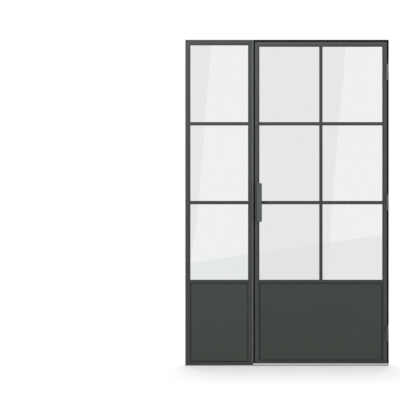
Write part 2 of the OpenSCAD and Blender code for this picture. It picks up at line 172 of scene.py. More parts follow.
floor_plain = step(floor_tree, "ShaderNodeEmission", {"Strength": 1.0})
floor_mix = step(floor_tree, "ShaderNodeMixShader", {
    0: background_ray(floor_tree, floor_path), 1: floor_direct.outputs[0],
    2: floor_plain.outputs[0]})
step(floor_tree, "ShaderNodeOutputMaterial", {"Surface": floor_mix.outputs[0]})
floor.data.materials.append(floor_paint)

# Lights
# A soft light hangs high in front on the left, a weak one on the right and a third behind, so
# the steel is brighter towards the top. They leave out the floor, which has its own lights.
all_but_floor = bpy.data.collections.new("all_but_floor")
all_but_floor.objects.link(floor)
all_but_floor.collection_objects[0].light_linking.link_state = "EXCLUDE"


def soft_light(name, place, target, width, height, power):
    """Rectangular lamp aimed at a point of the set, of which only the light shows."""
    data = bpy.data.lights.new(name, "AREA")
    data.shape = "RECTANGLE"
    data.size = width
    data.size_y = height
    data.energy = power
    lamp = placed(name, data)
    lamp.location = place
    aim = Vector(target) - Vector(place)
    lamp.rotation_euler = aim.to_track_quat("-Z", "Y").to_euler()
    lamp.light_linking.receiver_collection = all_but_floor
    lamp.visible_camera = False
    lamp.visible_transmission = False


soft_light("key_light", (-1.0, -2.6, 3.3), (0.6, 0.0, 1.5), width=1.8, height=1.4, power=64.0)
soft_light("fill_light", (3.2, -3.0, 2.2), (0.8, 0.0, 1.2), width=1.4, height=1.6, power=22.0)
soft_light("back_light", (1.8, 3.6, 2.8), (0.6, 0.0, 1.1), width=1.8, height=1.8, power=50.0)

# Floor lights
# They come from behind and above, in steps from steep to slanting, so the door's shadow fades
# evenly over its reach in front. The steepest and sharpest one leaves the dark line on the
# floor where the door stands.
shadow_reach = 1.95
shadow_steps = 8
shadow_depth = 0.31
shadow_blur = math.radians(16.0)
contact_reach = 0.05
contact_depth = 0.33
contact_blur = math.radians(0.8)
floor_only = bpy.data.collections.new("floor_only")
floor_only.objects.link(floor)


def floor_light(name, reach, depth, blur):
    """Sun on the floor alone, set for the reach and the depth of the door's shadow."""
    tilt = math.atan2(reach, cad_high.z)
    data = bpy.data.lights.new(name, "SUN")
    data.energy = depth * math.pi / floor_white_share / math.cos(tilt)
    data.angle = blur
    sun = placed(name, data)
    sun.rotation_euler = (-tilt, 0.0, 0.0)
    sun.light_linking.receiver_collection = floor_only


for index in range(shadow_steps):
    floor_light(f"floor_light_{index}", shadow_reach * (index + 0.5) / shadow_steps,
                shadow_depth / shadow_steps, shadow_blur)
floor_light("contact_light", contact_reach, contact_depth, contact_blur)

# Cards in front of the panes
# Pale cards stand between camera and door, seen only as reflections in the glass: each
# has the slanted left edge and the rising lower edge of the bright bands on the panes.
card_y = -8.0
picture_pixels = 400.0
pixel = picture_width / picture_pixels


def on_card(px, py):
    """Point of the card plane whose reflection shows at a pixel of the picture."""
    x = (px - picture_pixels / 2.0) * pixel + camera_x
    z = (picture_pixels / 2.0 - py) * pixel + camera_z
    grow = 1.0 + (front_face_y - card_y) / camera_distance
    return (camera_x + (x - camera_x) * grow, card_y, camera_z + (z - camera_z) * grow)


def card_paint(name, colour, strength):
    """Material of a card that only gives light."""
    paint, tree = new_material(name)
    tree.nodes.clear()
    light = step(tree, "ShaderNodeEmission", {"Color": (*colour, 1.0), "Strength": strength})
    step(tree, "ShaderNodeOutputMaterial", {"Surface": light.outputs[0]})
    return paint


bright_card = card_paint("bright_card", (1.0, 1.0, 1.0), 2.55)
grey_card = card_paint("grey_card", (0.78, 1.0, 0.97), 0.36)
pale_card = card_paint("pale_card", (0.84, 1.0, 0.98), 1.02)
cards = {
    "sidelight_card": (bright_card, [
        (211.0, 36.0), (210.0, 60.0), (206.5, 100.0), (203.5, 145.0), (200.5, 180.0),
        (197.5, 212.0), (195.5, 232.0), (190.0, 263.2), (250.0, 254.4), (250.0, 36.0)]),
    "leaf_card": (bright_card, [
        (346.0, 36.0), (343.5, 76.0), (340.0, 112.0), (336.5, 152.0), (333.5, 190.0),
        (330.5, 228.0), (329.5, 242.5), (388.0, 234.0), (388.0, 36.0)]),
    "sidelight_low_card": (pale_card, [
        (190.0, 263.4), (250.0, 254.6), (250.0, 290.0), (190.0, 290.0)]),
    "leaf_low_card": (grey_card, [
        (254.0, 253.6), (329.3, 242.6), (326.5, 290.0), (254.0, 290.0)]),
}
for card_name, (paint, outline) in cards.items():
    card = flat_mesh(card_name, [on_card(px, py) for px, py in outline])
    card.data.materials.append(paint)
    card.visible_camera = False
    card.visible_diffuse = False
    card.visible_transmission = False
    card.visible_shadow = False

# Sidelight frame
# Four hollow steel sections with a fin in front of the glass, mitred at the upper left corner,
# welded, ground flush and powder coated a dark green-grey, which leaves a fine dimpled skin.
steel_colour = (0.073, 0.079, 0.077)
fin_w = 0.008
frame_middle_y = 0.0
hollow_ease = 0.0003
merge_reach = 0.00001
flat_angle = math.radians(0.4)
sharp_angle = math.radians(28.0)
dust_height = 0.35
dust_colour = (0.30, 0.29, 0.27, 1.0)
dimple_depth = 0.0003


def new_group(name, inputs, outputs):
    """Shader node group and its sockets, from their names, kinds and starting values."""
    group = bpy.data.node_groups.new(name, "ShaderNodeTree")
    for socket_name, kind, default in inputs:
        socket = group.interface.new_socket(socket_name, in_out="INPUT", socket_type=kind)
        socket.default_value = default
    for socket_name, kind in outputs:
        group.interface.new_socket(socket_name, in_out="OUTPUT", socket_type=kind)
    return group, step(group, "NodeGroupInput").outputs, step(group, "NodeGroupOutput").inputs


def give(tree, sockets, sources):
    """Links values to sockets by their names."""
    for socket_name, source in sources.items():
        tree.links.new(source, sockets[socket_name])


def object_place(tree):
    """Place on the piece, in the model's own frame."""
    return step(tree, "ShaderNodeTexCoord").outputs["Object"]


def noise(tree, vector, scale, detail):
    """Noise on a vector."""
    return step(tree, "ShaderNodeTexNoise", {
        "Vector": vector, "Scale": scale, "Detail": detail}).outputs["Fac"]


def spread(tree, value, low, high, from_low=0.0, from_high=1.0):
    """Value moved from one range to another and held at its ends."""
    return step(tree, "ShaderNodeMapRange", {
        "Value": value, "From Min": from_low, "From Max": from_high,
        "To Min": low, "To Max": high}).outputs["Result"]


def product(tree, first, *others):
    """Product of two or more values."""
    for other in others:
        first = math_node(tree, "MULTIPLY", first, other)
    return first


def tinted(tree, colour, tone):
    """Colour made darker or lighter by a tone."""
    return step(tree, "ShaderNodeVectorMath", {0: colour, "Scale": tone},
                operation="SCALE").outputs["Vector"]


def split_axes(tree, vector):
    """X, Y and Z of a vector."""
    return step(tree, "ShaderNodeSeparateXYZ", {0: vector}).outputs


def mixed(tree, factor, first, second):
    """First value where the factor is 0 and second where it is 1."""
    return step(tree, "ShaderNodeMix", {
        "Factor": factor, "A": first, "B": second}).outputs["Result"]


coat_skin, skin_in, skin_out = new_group(
    "coat_skin",
    [("Color", "NodeSocketColor", (0.5, 0.5, 0.5, 1.0)), ("Tone", "NodeSocketFloat", 1.0),
     ("Roughness", "NodeSocketFloat", 0.4), ("Dimple Size", "NodeSocketFloat", 900.0),
     ("Dust", "NodeSocketFloat", 0.1)],
    [("Color", "NodeSocketColor"), ("Roughness", "NodeSocketFloat"),
     ("Height", "NodeSocketFloat")])
skin_place = object_place(coat_skin)
skin_cloud = spread(coat_skin, noise(coat_skin, skin_place, scale=3.0, detail=4.0),
                    low=0.93, high=1.07)
skin_fine = spread(coat_skin, noise(coat_skin, skin_place, scale=420.0, detail=2.0),
                   low=0.94, high=1.06)
skin_tone = product(coat_skin, skin_cloud, skin_fine, skin_in["Tone"])
skin_specks = noise(coat_skin, skin_place, scale=55.0, detail=6.0)
skin_low = spread(coat_skin, split_axes(coat_skin, skin_place)["Z"], low=1.0, high=0.0,
                  from_high=dust_height)
skin_settled = product(coat_skin, skin_low, skin_specks, skin_in["Dust"])
skin_dust = step(coat_skin, "ShaderNodeMix", data_type="RGBA")
skin_dust.inputs["B"].default_value = dust_colour
give(coat_skin, skin_dust.inputs, {
    "Factor": skin_settled, "A": tinted(coat_skin, skin_in["Color"], skin_tone)})
skin_rough = math_node(coat_skin, "ADD", skin_in["Roughness"],
                       spread(coat_skin, skin_specks, low=-0.05, high=0.05))
give(coat_skin, skin_out, {
    "Color": skin_dust.outputs["Result"], "Roughness": skin_rough,
    "Height": noise(coat_skin, skin_place, scale=skin_in["Dimple Size"], detail=2.0)})

# Some faces lie in shade or in a rebate, and their coat is painted darker as that shade. This
# group paints the shade into what lies inside of a box of the model and what lies outside of it,
# in front of a depth.
zone_tone, zone_in, zone_out = new_group(
    "zone_tone",
    [("Low", "NodeSocketVector", (0.0, 0.0, 0.0)), ("High", "NodeSocketVector", (1.0, 1.0, 1.0)),
     ("Inside", "NodeSocketFloat", 1.0), ("Outside", "NodeSocketFloat", 1.0),
     ("Back", "NodeSocketFloat", 1.0)],
    [("Tone", "NodeSocketFloat")])
zone_place = split_axes(zone_tone, object_place(zone_tone))
zone_low = split_axes(zone_tone, zone_in["Low"])
zone_high = split_axes(zone_tone, zone_in["High"])
zone_mask = 1.0
for axis in ("X", "Z"):
    above = math_node(zone_tone, "GREATER_THAN", zone_place[axis], zone_low[axis])
    below = math_node(zone_tone, "LESS_THAN", zone_place[axis], zone_high[axis])
    zone_mask = product(zone_tone, above, below, zone_mask)
zone_behind = math_node(zone_tone, "GREATER_THAN", zone_place["Y"], zone_in["Back"])
zone_front = mixed(zone_tone, zone_mask, zone_in["Outside"], zone_in["Inside"])
give(zone_tone, zone_out, {"Tone": mixed(zone_tone, zone_behind, zone_front, 1.0)})


def coated(name, colour, shade=1.0, roughness=0.42, dimple_size=900.0, dust=0.04, bump=0.60,
           gloss=0.25):
    """Material with the coat's skin over one colour, which a shade darkens as painted shade or
    lightens as painted light.
    """
    material, tree = new_material(name)
    skin = step(tree, "ShaderNodeGroup", {
        "Color": (*[part * shade for part in colour], 1.0), "Roughness": roughness,
        "Dimple Size": dimple_size, "Dust": dust}, name="skin", node_tree=coat_skin)
    relief = step(tree, "ShaderNodeBump", {
        "Strength": bump, "Distance": dimple_depth, "Height": skin.outputs["Height"]})
    shader = tree.nodes["Principled BSDF"]
    shader.inputs["Specular IOR Level"].default_value = gloss
    give(tree, shader.inputs, {
        "Base Color": skin.outputs["Color"], "Roughness": skin.outputs["Roughness"],
        "Normal": relief.outputs["Normal"]})
    return material


def tone_zone(material, low, high, inside, outside, back=1.0):
    """Paints shade into a coat, inside and outside of a box, in front of a depth."""
    tree = material.node_tree
    zone = step(tree, "ShaderNodeGroup", {
        "Low": low, "High": high, "Inside": inside, "Outside": outside, "Back": back},
        node_tree=zone_tone)
    give(tree, tree.nodes["skin"].inputs, {"Tone": zone.outputs["Tone"]})


def fin_opening(left_stile, right_stile, bottom_rail, top_rail):
    """Low and high corner of the opening between four fins' outer edges."""
    low = (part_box(left_stile)[1].x - fin_w, 0.0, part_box(bottom_rail)[1].z - fin_w)
    high = (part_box(right_stile)[0].x + fin_w, 0.0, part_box(top_rail)[0].z + fin_w)
    return low, high


def dress(names, material):
    """Gives CAD nodes a material in place of their plain one."""
    for name in names:
        for holder in nodes[name].material_slots:
            holder.material = material


def finished(names, body, material, ease, ending="_steel"):
    """Copies of CAD nodes with eased edges and smooth corners, which stand for them."""
    for name in names:
        mesh = nodes[name].data.copy()
        shape = bmesh.new()
        shape.from_mesh(mesh)
        bmesh.ops.remove_doubles(shape, verts=shape.verts, dist=merge_reach)
        bmesh.ops.dissolve_limit(shape, angle_limit=flat_angle, verts=shape.verts,
                                 edges=shape.edges)
        shape.to_mesh(mesh)
        shape.free()
        mesh.materials.clear()
        mesh.materials.append(material)
        for face in mesh.polygons:
            face.use_smooth = True
            face.material_index = 0
        mesh.set_sharp_from_angle(angle=sharp_angle)
        piece = placed(name + ending, mesh)
        edges = piece.modifiers.new("eased_edges", "BEVEL")
        edges.width = ease
        edges.segments = 2
        edges.limit_method = "ANGLE"
        edges.angle_limit = sharp_angle
        edges.harden_normals = True
        corners = piece.modifiers.new("flat_faces", "WEIGHTED_NORMAL")
        corners.keep_sharp = True
        corners.weight = 100
        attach(piece, body)
        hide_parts(name)


side_opening = fin_opening("side_left_stile", "side_right_stile", "side_bottom_rail",
                           "side_top_rail")
# The fins' coat is painted darker, as the shade in the recess in front of the glass.
side_steel = coated("side_frame_coat", steel_colour)
tone_zone(side_steel, *side_opening, inside=0.86, outside=1.0, back=frame_middle_y)
finished(["side_left_stile", "side_right_stile", "side_bottom_rail"], "frame", side_steel,
         hollow_ease)
# The top rail has a darker copy of the coat, as painted shade.
side_top_steel = coated("side_top_rail_coat", steel_colour, shade=0.90)
finished(["side_top_rail"], "frame", side_top_steel, hollow_ease)

# Sidelight glazing bars
# T sections of steel welded between the stiles: a flat face as deep as the fins in front, and
# a thin web behind it that parts the panes. They have the same coat in darker copies, as painted
# shade, the lower bar and mid rail the darkest, and edges eased by it.
bar_ease = 0.0004
side_bar_steel = coated("side_bar_coat", steel_colour, shade=0.88)
finished(["side_upper_muntin"], "frame", side_bar_steel, bar_ease)
side_low_bar_steel = coated("side_low_bar_coat", steel_colour, shade=0.84)
finished(["side_lower_muntin", "side_mid_rail"], "frame", side_low_bar_steel, bar_ease)

# Sidelight lower panel
# Steel sheet with its middle pressed forward, which leaves a narrow groove along the frame.
# The bends are soft, and down in the groove the coat is painted darker, as its shade.
panel_colour = (0.066, 0.080, 0.068)
panel_groove = 0.005
pane_clearance = 0.003
groove_side = 0.0003
panel_ease = 0.0010


def panel_coat(name, node, shade, groove_painted_shade, lit_right=0.0):
    """Coat of a pressed panel, with painted shade in its groove but for a strip on the right
    where light falls in.
    """
    low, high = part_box(node)
    inset = fin_w + panel_groove - pane_clearance + groove_side
    coat = coated(name, panel_colour, shade=shade)
    tone_zone(coat, (low.x + inset, 0.0, low.z + inset),
              (high.x - inset + lit_right, 0.0, high.z - inset),
              inside=1.0, outside=groove_painted_shade, back=(low.y + high.y) / 2.0)
    return coat


side_panel_steel = panel_coat("side_panel_coat", "side_panel", shade=1.0, groove_painted_shade=0.52,
                              lit_right=0.02)
finished(["side_panel"], "frame", side_panel_steel, panel_ease)

# Sidelight panes
# Clear float glass, 6 mm thick, dry glazed between rubber seals. The sheets aren't perfectly
# flat, so what they mirror bends a little.
float_glass, glass_tree = new_material("float_glass")
glass_shader = glass_tree.nodes["Principled BSDF"]
glass_shader.inputs["Base Color"].default_value = (0.785, 0.795, 0.80, 1.0)
glass_shader.inputs["Roughness"].default_value = 0.0
glass_shader.inputs["IOR"].default_value = 1.52
glass_shader.inputs["Transmission Weight"].default_value = 1.0
glass_wave = step(glass_tree, "ShaderNodeBump", {
    "Strength": 0.5, "Distance": 0.00008,
    "Height": noise(glass_tree, object_place(glass_tree), scale=3.5, detail=1.0)})
give(glass_tree, glass_shader.inputs, {"Normal": glass_wave.outputs["Normal"]})
side_panes = ["side_top_glass", "side_middle_glass", "side_bottom_glass"]
dress(side_panes, float_glass)

# Sidelight seals, blocks and glazing beads
# Black rubber strips lie on both faces of a pane, which stands on two plastic blocks. Thin
# channel beads hold it from the back, mitred at the corners and screwed every 28 cm or so.
black_rubber = coated("black_rubber", (0.005, 0.005, 0.005), roughness=0.60,
                      dimple_size=1400.0, dust=0.01, bump=0.5, gloss=0.05)
black_plastic = coated("block_plastic", (0.018, 0.018, 0.019), roughness=0.50,
                       dimple_size=600.0, dust=0.02, bump=0.2, gloss=0.2)
dress(["side_glazing_seals"], black_rubber)
dress(["side_setting_blocks"], black_plastic)
bead_steel = coated("bead_coat", steel_colour)
bead_ease = 0.0003
finished(["side_glazing_beads"], "frame", bead_steel, bead_ease)

brushed_grain, grain_in, grain_out = new_group(
    "brushed_grain",
    [("Color", "NodeSocketColor", (0.5, 0.5, 0.5, 1.0)),
     ("Stretch", "NodeSocketVector", (1.0, 1.0, 1.0)), ("Roughness", "NodeSocketFloat", 0.3)],
    [("Color", "NodeSocketColor"), ("Roughness", "NodeSocketFloat"),
     ("Height", "NodeSocketFloat")])
grain_along = step(brushed_grain, "ShaderNodeVectorMath",
                   {0: object_place(brushed_grain), 1: grain_in["Stretch"]},
                   operation="MULTIPLY")
grain_lines = noise(brushed_grain, grain_along.outputs["Vector"], scale=1.0, detail=3.0)
give(brushed_grain, grain_out, {
    "Color": tinted(brushed_grain, grain_in["Color"],
                    spread(brushed_grain, grain_lines, low=0.82, high=1.18)),
    "Roughness": math_node(brushed_grain, "ADD", grain_in["Roughness"],
                           spread(brushed_grain, grain_lines, low=-0.08, high=0.08)),
    "Height": grain_lines})


def bare_metal(name, colour, roughness, stretch):
    """Uncoated metal with fine lines along the axis of least stretch."""
    material, tree = new_material(name)
    grain = step(tree, "ShaderNodeGroup", {
        "Color": (*colour, 1.0), "Stretch": stretch, "Roughness": roughness},
        name="grain", node_tree=brushed_grain)
    relief = step(tree, "ShaderNodeBump", {
        "Strength": 0.25, "Distance": 0.0001, "Height": grain.outputs["Height"]})
    shader = tree.nodes["Principled BSDF"]
    shader.inputs["Metallic"].default_value = 1.0
    give(tree, shader.inputs, {
        "Base Color": grain.outputs["Color"], "Roughness": grain.outputs["Roughness"],
        "Normal": relief.outputs["Normal"]})
    return material


screw_steel = bare_metal("screw_steel", (0.36, 0.36, 0.35), 0.34, (900.0, 900.0, 900.0))


def new_tree(name, inputs):
    """Geometry Nodes tree with named inputs beside its geometry, and their sockets."""
    tree = bpy.data.node_groups.new(name, "GeometryNodeTree")
    tree.is_modifier = True
    line_kind = "NodeSocketGeometry"
    tree.interface.new_socket("Geometry", in_out="INPUT", socket_type=line_kind)
    for socket_name, kind in inputs:
        tree.interface.new_socket(socket_name, in_out="INPUT", socket_type=kind)
    tree.interface.new_socket("Geometry", in_out="OUTPUT", socket_type=line_kind)
    return tree, step(tree, "NodeGroupInput").outputs


def even_points(tree, lines, spacing):
    """Curve along lines, with a point at every step of it."""
    curve = step(tree, "GeometryNodeMeshToCurve", {"Mesh": lines})
    return step(tree, "GeometryNodeResampleCurve",
                {"Curve": curve.outputs[0], "Length": spacing}, mode="LENGTH").outputs[0]


def end_tree(tree, geometry, finish):
    """Ends a tree with plain geometry in one material."""
    real = step(tree, "GeometryNodeRealizeInstances", {"Geometry": geometry})
    paint = step(tree, "GeometryNodeSetMaterial",
                 {"Geometry": real.outputs[0], "Material": finish})
    step(tree, "NodeGroupOutput", {"Geometry": paint.outputs[0]})


def grown(name, tree, corners, lines, values, facing=None):
    """Plain mesh that a Geometry Nodes tree makes from lines."""
    mesh = bpy.data.meshes.new(name + "_lines")
    mesh.from_pydata(corners, lines, [])
    if facing:
        aim = mesh.attributes.new("facing", "FLOAT_VECTOR", "POINT")
        for place, direction in zip(aim.data, facing):
            place.vector = direction
    piece = placed(name, mesh)
    modifier = piece.modifiers.new(tree.name, "NODES")
    modifier.node_group = tree
    for item in tree.interface.items_tree:
        if item.in_out == "INPUT" and item.name in values:
            modifier[item.identifier] = values[item.name]
    bpy.context.view_layer.update()
    depsgraph = bpy.context.evaluated_depsgraph_get()
    made = bpy.data.meshes.new_from_object(piece.evaluated_get(depsgraph))
    piece.modifiers.clear()
    piece.data = made
    made.name = name
    bpy.data.meshes.remove(mesh)
    return piece


# A screw has a low rounded head with a six-sided socket, and one stands at every step of a line.
head_sides = 20
head_top_share = 0.72
socket_sides = 6
socket_rise_share = 0.85
screw_row, row_in = new_tree("screw_row", [
    ("Spacing", "NodeSocketFloat"), ("Head Radius", "NodeSocketFloat"),
    ("Head Height", "NodeSocketFloat"), ("Socket Radius", "NodeSocketFloat"),
    ("Finish", "NodeSocketMaterial")])
row_head = step(screw_row, "GeometryNodeMeshCone", {
    "Vertices": head_sides, "Radius Bottom": row_in["Head Radius"],
    "Radius Top": product(screw_row, row_in["Head Radius"], head_top_share),
    "Depth": row_in["Head Height"]})
row_socket = step(screw_row, "GeometryNodeMeshCylinder", {
    "Vertices": socket_sides, "Radius": row_in["Socket Radius"],
    "Depth": row_in["Head Height"]})
row_rise = step(screw_row, "ShaderNodeCombineXYZ", {
    "Z": product(screw_row, row_in["Head Height"], socket_rise_share)})
row_socket_up = step(screw_row, "GeometryNodeTransform", {
    "Geometry": row_socket.outputs["Mesh"], "Translation": row_rise.outputs[0]})
row_screw = step(screw_row, "GeometryNodeMeshBoolean", {
    "Mesh 1": row_head.outputs["Mesh"], "Mesh 2": row_socket_up.outputs[0]},
    operation="DIFFERENCE")
row_facing = step(screw_row, "GeometryNodeInputNamedAttribute", {"Name": "facing"},
                  data_type="FLOAT_VECTOR")
row_turn = step(screw_row, "FunctionNodeAlignRotationToVector",
                {"Vector": row_facing.outputs["Attribute"]}, axis="Z")
row_screws = step(screw_row, "GeometryNodeInstanceOnPoints", {
    "Points": even_points(screw_row, row_in["Geometry"], row_in["Spacing"]),
    "Instance": row_screw.outputs["Mesh"], "Rotation": row_turn.outputs[0]})
end_tree(screw_row, row_screws.outputs[0], row_in["Finish"])

screw_end_gap = 0.045
bead_middle_y = -0.0048


def bead_lines(panes):
    """Lines along the inner faces of the beads around panes, and where their screws look."""
    corners = []
    lines = []
    facing = []
    for pane in panes:
        low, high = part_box(pane)
        inset = fin_w - pane_clearance
        x0 = low.x + inset
        x1 = high.x - inset
        z0 = low.z + inset
        z1 = high.z - inset
        gap = screw_end_gap
        for first, last, direction in (
                ((x0, z0 + gap), (x0, z1 - gap), (1.0, 0.0, 0.0)),
                ((x1, z0 + gap), (x1, z1 - gap), (-1.0, 0.0, 0.0)),
                ((x0 + gap, z0), (x1 - gap, z0), (0.0, 0.0, 1.0)),
                ((x0 + gap, z1), (x1 - gap, z1), (0.0, 0.0, -1.0))):
            lines.append((len(corners), len(corners) + 1))
            corners.append((first[0], bead_middle_y, first[1]))
            corners.append((last[0], bead_middle_y, last[1]))
            facing.extend((direction, direction))
    return corners, lines, facing


bead_screw = {"Spacing": 0.28, "Head Radius": 0.0026, "Head Height": 0.0011,
              "Socket Radius": 0.0011, "Finish": screw_steel}
screw_corners, screw_lines, screw_facing = bead_lines(side_panes + ["side_panel"])
side_screws = grown("side_bead_screws", screw_row, screw_corners, screw_lines, bead_screw,
                    screw_facing)
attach(side_screws, "frame")

# Strike bar and stop
# A flat steel bar between sidelight and leaf, a little proud of both, its coat painted lighter
# as the highlight that its edge catches, with a thin stop behind it that the leaf closes
# against.
# Lighter than the frame's colour: a painted highlight.
strike_lit_colour = (0.167, 0.184, 0.174)
strike_ease = 0.0005
strike_steel = coated("strike_bar_coat", strike_lit_colour, roughness=0.38)
finished(["strike_bar"], "frame", strike_steel, strike_ease)
stop_steel = coated("strike_stop_coat", steel_colour)
finished(["strike_stop"], "frame", stop_steel, bar_ease)

# Head and hinge jamb
# A steel angle over and beside the leaf, its web against the wall and its stop behind the
# leaf, with drilled holes for the fixings. All but the back of it is painted darker, as the
# shade in the gap round the leaf.
rebate_painted_shade = 0.50
handle_past_rebate = 0.0305
rebate_end_y = cad_high.y - handle_past_rebate
frame_steel = coated("head_and_jamb_coat", steel_colour)
tone_zone(frame_steel, cad_low, cad_high, inside=rebate_painted_shade, outside=rebate_painted_shade,
          back=rebate_end_y)
finished(["head_frame", "hinge_jamb"], "frame", frame_steel, bar_ease)

# Frame edge seal and stop seal
# Soft black rubber: one profile is pushed on the front edge of head and jamb, and the other is
# glued around the stops, mitred, so that the leaf closes quietly on it.
# The edge profile is black rubber, and its black also stands in for the shade in the gap round
# the leaf.
seal_ease = 0.0003
dress(["frame_edge_seal"], black_rubber)
finished(["stop_seal"], "frame", black_rubber, seal_ease, ending="_rubber")

# Threshold
# Folded stainless sheet with a sloped nose, brushed along its length, with a stop welded on at
# the back and four flush screws that the closed leaf hides. The tread behind the nose is painted
# darker as the shade under the leaf, and the lip on the floor darker still as the shadow line
# at the door's foot.
threshold_h = 0.013
lip_top_z = 0.0024
nose_foot_z = 0.0034
nose_top_y = -0.022
tread_front_y = -0.018
threshold_ease = 0.0003
threshold_screw_inset = 0.09
brushed_stainless = bare_metal("brushed_stainless", (0.53, 0.53, 0.52), 0.40,
                               (9.0, 1600.0, 1600.0))
nose_tree = brushed_stainless.node_tree
nose_axes = split_axes(nose_tree, object_place(nose_tree))
# Painted shade: dark on the lip at the floor, and darker on the tread under the leaf.
nose_painted_shade = product(
    nose_tree,
    spread(nose_tree, nose_axes["Z"], low=0.05, high=1.0, from_low=lip_top_z,
           from_high=nose_foot_z),
    spread(nose_tree, nose_axes["Y"], low=1.0, high=0.60, from_low=nose_top_y,
           from_high=tread_front_y))
nose_colour = tinted(nose_tree, nose_tree.nodes["grain"].outputs["Color"], nose_painted_shade)
give(nose_tree, nose_tree.nodes["Principled BSDF"].inputs, {"Base Color": nose_colour})
finished(["threshold"], "frame", brushed_stainless, threshold_ease)
tread_low, tread_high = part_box("threshold")
tread_screws = grown(
    "threshold_screws", screw_row,
    [(tread_low.x + threshold_screw_inset, 0.0, threshold_h),
     (tread_high.x - threshold_screw_inset, 0.0, threshold_h)], [(0, 1)],
    {"Spacing": 0.22, "Head Radius": 0.0042, "Head Height": 0.0008, "Socket Radius": 0.0018,
     "Finish": screw_steel}, [(0.0, 0.0, 1.0), (0.0, 0.0, 1.0)])
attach(tread_screws, "frame")

# Leaf frame
# Hollow sections as in the sidelight and an angle at the foot, welded with mitred upper
# corners. The fins lie deeper than the faces, and their coat is painted darker as their shade.
# The leaf's coat is a lighter copy of the sidelight's, as painted light, and the foot is painted
# darker, most of all low on its face, as shade.
leaf_painted_light = 1.12
leaf_opening = fin_opening("leaf_lock_stile", "leaf_hinge_stile", "leaf_bottom_rail",
                           "leaf_top_rail")
leaf_steel = coated("leaf_frame_coat", steel_colour, shade=leaf_painted_light)
tone_zone(leaf_steel, *leaf_opening, inside=0.64, outside=1.0, back=frame_middle_y)
finished(["leaf_lock_stile", "leaf_hinge_stile", "leaf_top_rail"], "leaf", leaf_steel,
         hollow_ease)
foot_fin_z = leaf_opening[0][2]
leaf_foot_steel = coated("leaf_foot_coat", steel_colour, shade=leaf_painted_light)
tone_zone(leaf_foot_steel, (cad_low.x, 0.0, foot_fin_z), (cad_high.x, 0.0, cad_high.z),
          inside=0.93, outside=0.62, back=frame_middle_y)
finished(["leaf_bottom_rail"], "leaf", leaf_foot_steel, hollow_ease)

# Leaf glazing bars
# One upright bar and two level rows of T section, with a mid rail under them, welded to the
# stiles and to each other and ground flush where they cross.
# Their coats are darker copies, as painted shade, the upright's the darkest.
leaf_bar_steel = coated("leaf_bar_coat", steel_colour, shade=0.86)
finished(["leaf_upper_muntins", "leaf_lower_muntins", "leaf_mid_rail"], "leaf", leaf_bar_steel,
         bar_ease)
upright_steel = coated("leaf_upright_coat", steel_colour, shade=0.78)
finished(["leaf_upright_muntin"], "leaf", upright_steel, bar_ease)

# Leaf lower panel
# The same pressed sheet as in the sidelight, in one piece over the whole width of the leaf,
# where feet would break a pane.
# Its coat is a darker copy of the sidelight panel's, as painted shade.
leaf_panel_steel = panel_coat("leaf_panel_coat", "leaf_panel", shade=0.92, groove_painted_shade=0.45)
finished(["leaf_panel"], "leaf", leaf_panel_steel, panel_ease)

# Leaf panes, seals, blocks and beads
# Six panes of the same float glass, glazed as the sidelight is: rubber on both faces, blocks
# below and screwed channel beads at the back.
leaf_panes = ["leaf_top_left_glass", "leaf_top_right_glass", "leaf_middle_left_glass",
              "leaf_middle_right_glass", "leaf_bottom_left_glass", "leaf_bottom_right_glass"]
dress(leaf_panes, float_glass)
dress(["leaf_glazing_seals"], black_rubber)
dress(["leaf_setting_blocks"], black_plastic)
finished(["leaf_glazing_beads"], "leaf", bead_steel, bead_ease)
screw_corners, screw_lines, screw_facing = bead_lines(leaf_panes + ["leaf_panel"])
leaf_screws = grown("leaf_bead_screws", screw_row, screw_corners, screw_lines, bead_screw,
                    screw_facing)
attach(leaf_screws, "leaf")

# Hinges
# Turned barrels on steel pins, with a washer between the halves. The lower halves are welded
# to the jamb's edge and the upper ones to the leaf's face, with a rippled seam round the wing.
hinge_count = 3
barrel_r = 0.0075
knuckle_ease = 0.0003
knuckle_low, knuckle_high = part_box("hinge_upper_knuckles")
barrel_left_x = knuckle_high.x - 2.0 * barrel_r
# The barrels' coat is a much lighter copy, as their painted highlight; the wings left of them
# are painted dark as the barrels' shadow, and all is painted lighter towards the head as light
# from above.
knuckle_steel = coated("hinge_coat", steel_colour, shade=2.05, roughness=0.36)
tone_zone(knuckle_steel, cad_low, (barrel_left_x, 0.0, cad_high.z), inside=0.32, outside=1.0)
knuckle_tree = knuckle_steel.node_tree
knuckle_tone = knuckle_tree.nodes["skin"].inputs["Tone"]
knuckle_painted_light = spread(knuckle_tree, split_axes(knuckle_tree, object_place(knuckle_tree))["Z"],
                      low=0.72, high=1.10, from_low=knuckle_low.z, from_high=knuckle_high.z)
knuckle_tree.links.new(
    product(knuckle_tree, knuckle_tone.links[0].from_socket, knuckle_painted_light), knuckle_tone)
finished(["hinge_lower_knuckles"], "frame", knuckle_steel, knuckle_ease)
finished(["hinge_upper_knuckles"], "leaf", knuckle_steel, knuckle_ease)
turned_steel = bare_metal("turned_steel", (0.17, 0.167, 0.16), 0.36, (700.0, 700.0, 2600.0))
dress(["hinge_pins"], turned_steel)

